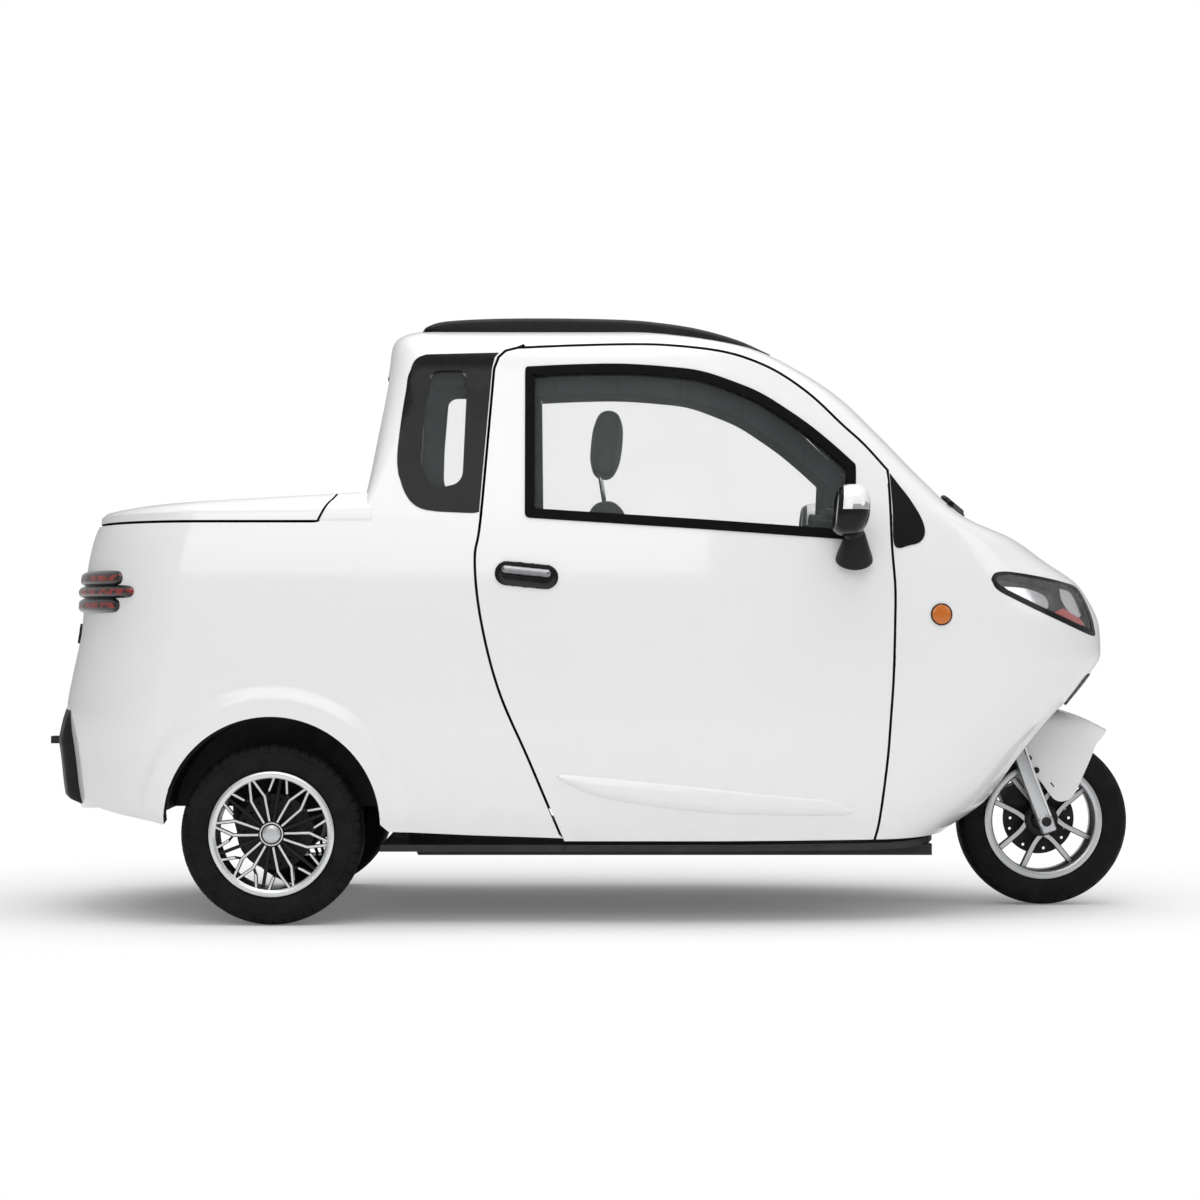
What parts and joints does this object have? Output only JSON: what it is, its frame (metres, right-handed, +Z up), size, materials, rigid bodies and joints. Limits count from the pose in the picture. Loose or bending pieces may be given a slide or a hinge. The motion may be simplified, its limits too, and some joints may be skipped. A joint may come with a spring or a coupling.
{
  "type": "electric cabin scooter",
  "caption": "Closed electric cabin scooter on three wheels with a steered front fork, hinged side doors and a lidded rear load box.",
  "frame": {"origin": "on the ground under the middle of the whole vehicle", "axes": "+X towards the nose, +Y to the left side, +Z up"},
  "size_m": [3.01, 1.4628, 1.606],
  "materials": {
    "frame_steel": "satin black",
    "white_panel": "high gloss",
    "black_plastic": "satin",
    "grey_board": "textured",
    "clear_glass": "clear",
    "seal_rubber": "satin",
    "lamp_clear": "clear lens",
    "lamp_red": "smoked lens",
    "lamp_amber": "ribbed lens",
    "seat_cover": "grained",
    "silver_alloy": "painted silver",
    "bright_trim": "polished",
    "dark_bar": "satin",
    "tyre_rubber": "matt",
    "black_alloy": "black with machined edges",
    "disc_steel": "brushed"
  },
  "bodies": {
    "chassis": {"frame": "frame_steel", "head_frame": "frame_steel", "rear_frame": "frame_steel", "floor_pan": "black_plastic", "front_body": "white_panel", "cab_shell": "white_panel", "rear_body": "white_panel", "quarter_bands": "white_panel", "deck_strip": "white_panel", "partition": "grey_board", "load_floor": "grey_board", "front_well": "black_plastic", "rear_arch_liners": "black_plastic", "windscreen": "clear_glass", "rear_window": "clear_glass", "quarter_frames": "black_plastic", "quarter_panes": "clear_glass", "sail_panels": "black_plastic", "headlamps": "lamp_clear", "tail_lamps": "lamp_red", "marker_lamps": "lamp_amber", "roof_rails": "black_plastic", "rear_bumper": "black_plastic", "door_hinges": "frame_steel", "lid_hinges": "frame_steel", "leaf_springs": "frame_steel", "rear_axle": "frame_steel", "battery_box": "grey_board", "seat_base": "seat_cover", "seat_back": "seat_cover", "headrest": "seat_cover", "dash": "black_plastic"},
    "steering": {"fork": "silver_alloy", "front_mudguard": "white_panel", "handlebar": "dark_bar", "front_caliper": "silver_alloy"},
    "front_wheel": {"front_tyre": "tyre_rubber", "front_rim": "silver_alloy", "front_disc": "disc_steel"},
    "rear_wheel_left": {"rear_tyre_left": "tyre_rubber", "rear_rim_left": "black_alloy", "rear_disc_left": "disc_steel"},
    "rear_wheel_right": {"rear_tyre_right": "tyre_rubber", "rear_rim_right": "black_alloy", "rear_disc_right": "disc_steel"},
    "door_left": {"door_panel_left": "white_panel", "door_seal_left": "seal_rubber", "door_glass_left": "clear_glass", "door_handle_left": "bright_trim", "door_mirror_left": "black_plastic"},
    "door_right": {"door_panel_right": "white_panel", "door_seal_right": "seal_rubber", "door_glass_right": "clear_glass", "door_handle_right": "bright_trim", "door_mirror_right": "black_plastic"},
    "rear_lid": {"lid": "white_panel"}
  },
  "joints": [
    {"name": "steer", "type": "hinge", "parent": "chassis", "child": "steering", "pos_m": [1.24172, 0, 0.2365], "axis": [-0.3584, 0, 0.9336], "range_deg": [-28, 28]},
    {"name": "front_wheel_spin", "type": "hinge", "parent": "steering", "child": "front_wheel", "pos_m": [1.2685, 0, 0.2365], "axis": [0, 1, 0], "continuous": true},
    {"name": "rear_wheel_left_spin", "type": "hinge", "parent": "chassis", "child": "rear_wheel_left", "pos_m": [-0.824, 0.525, 0.2385], "axis": [0, 1, 0], "continuous": true},
    {"name": "rear_wheel_right_spin", "type": "hinge", "parent": "chassis", "child": "rear_wheel_right", "pos_m": [-0.824, -0.525, 0.2385], "axis": [0, 1, 0], "continuous": true},
    {"name": "door_left_hinge", "type": "hinge", "parent": "chassis", "child": "door_left", "pos_m": [0.77121, 0.53567, 0.56], "axis": [-0.0633, 0.0144, -0.9979], "range_deg": [0, 65]},
    {"name": "door_right_hinge", "type": "hinge", "parent": "chassis", "child": "door_right", "pos_m": [0.77121, -0.53567, 0.56], "axis": [0.0633, 0.0144, 0.9979], "range_deg": [0, 65]},
    {"name": "rear_lid_hinge", "type": "hinge", "parent": "chassis", "child": "rear_lid", "pos_m": [-0.657, 0, 1.13093], "axis": [0, 1, 0], "range_deg": [0, 70]}
  ]
}
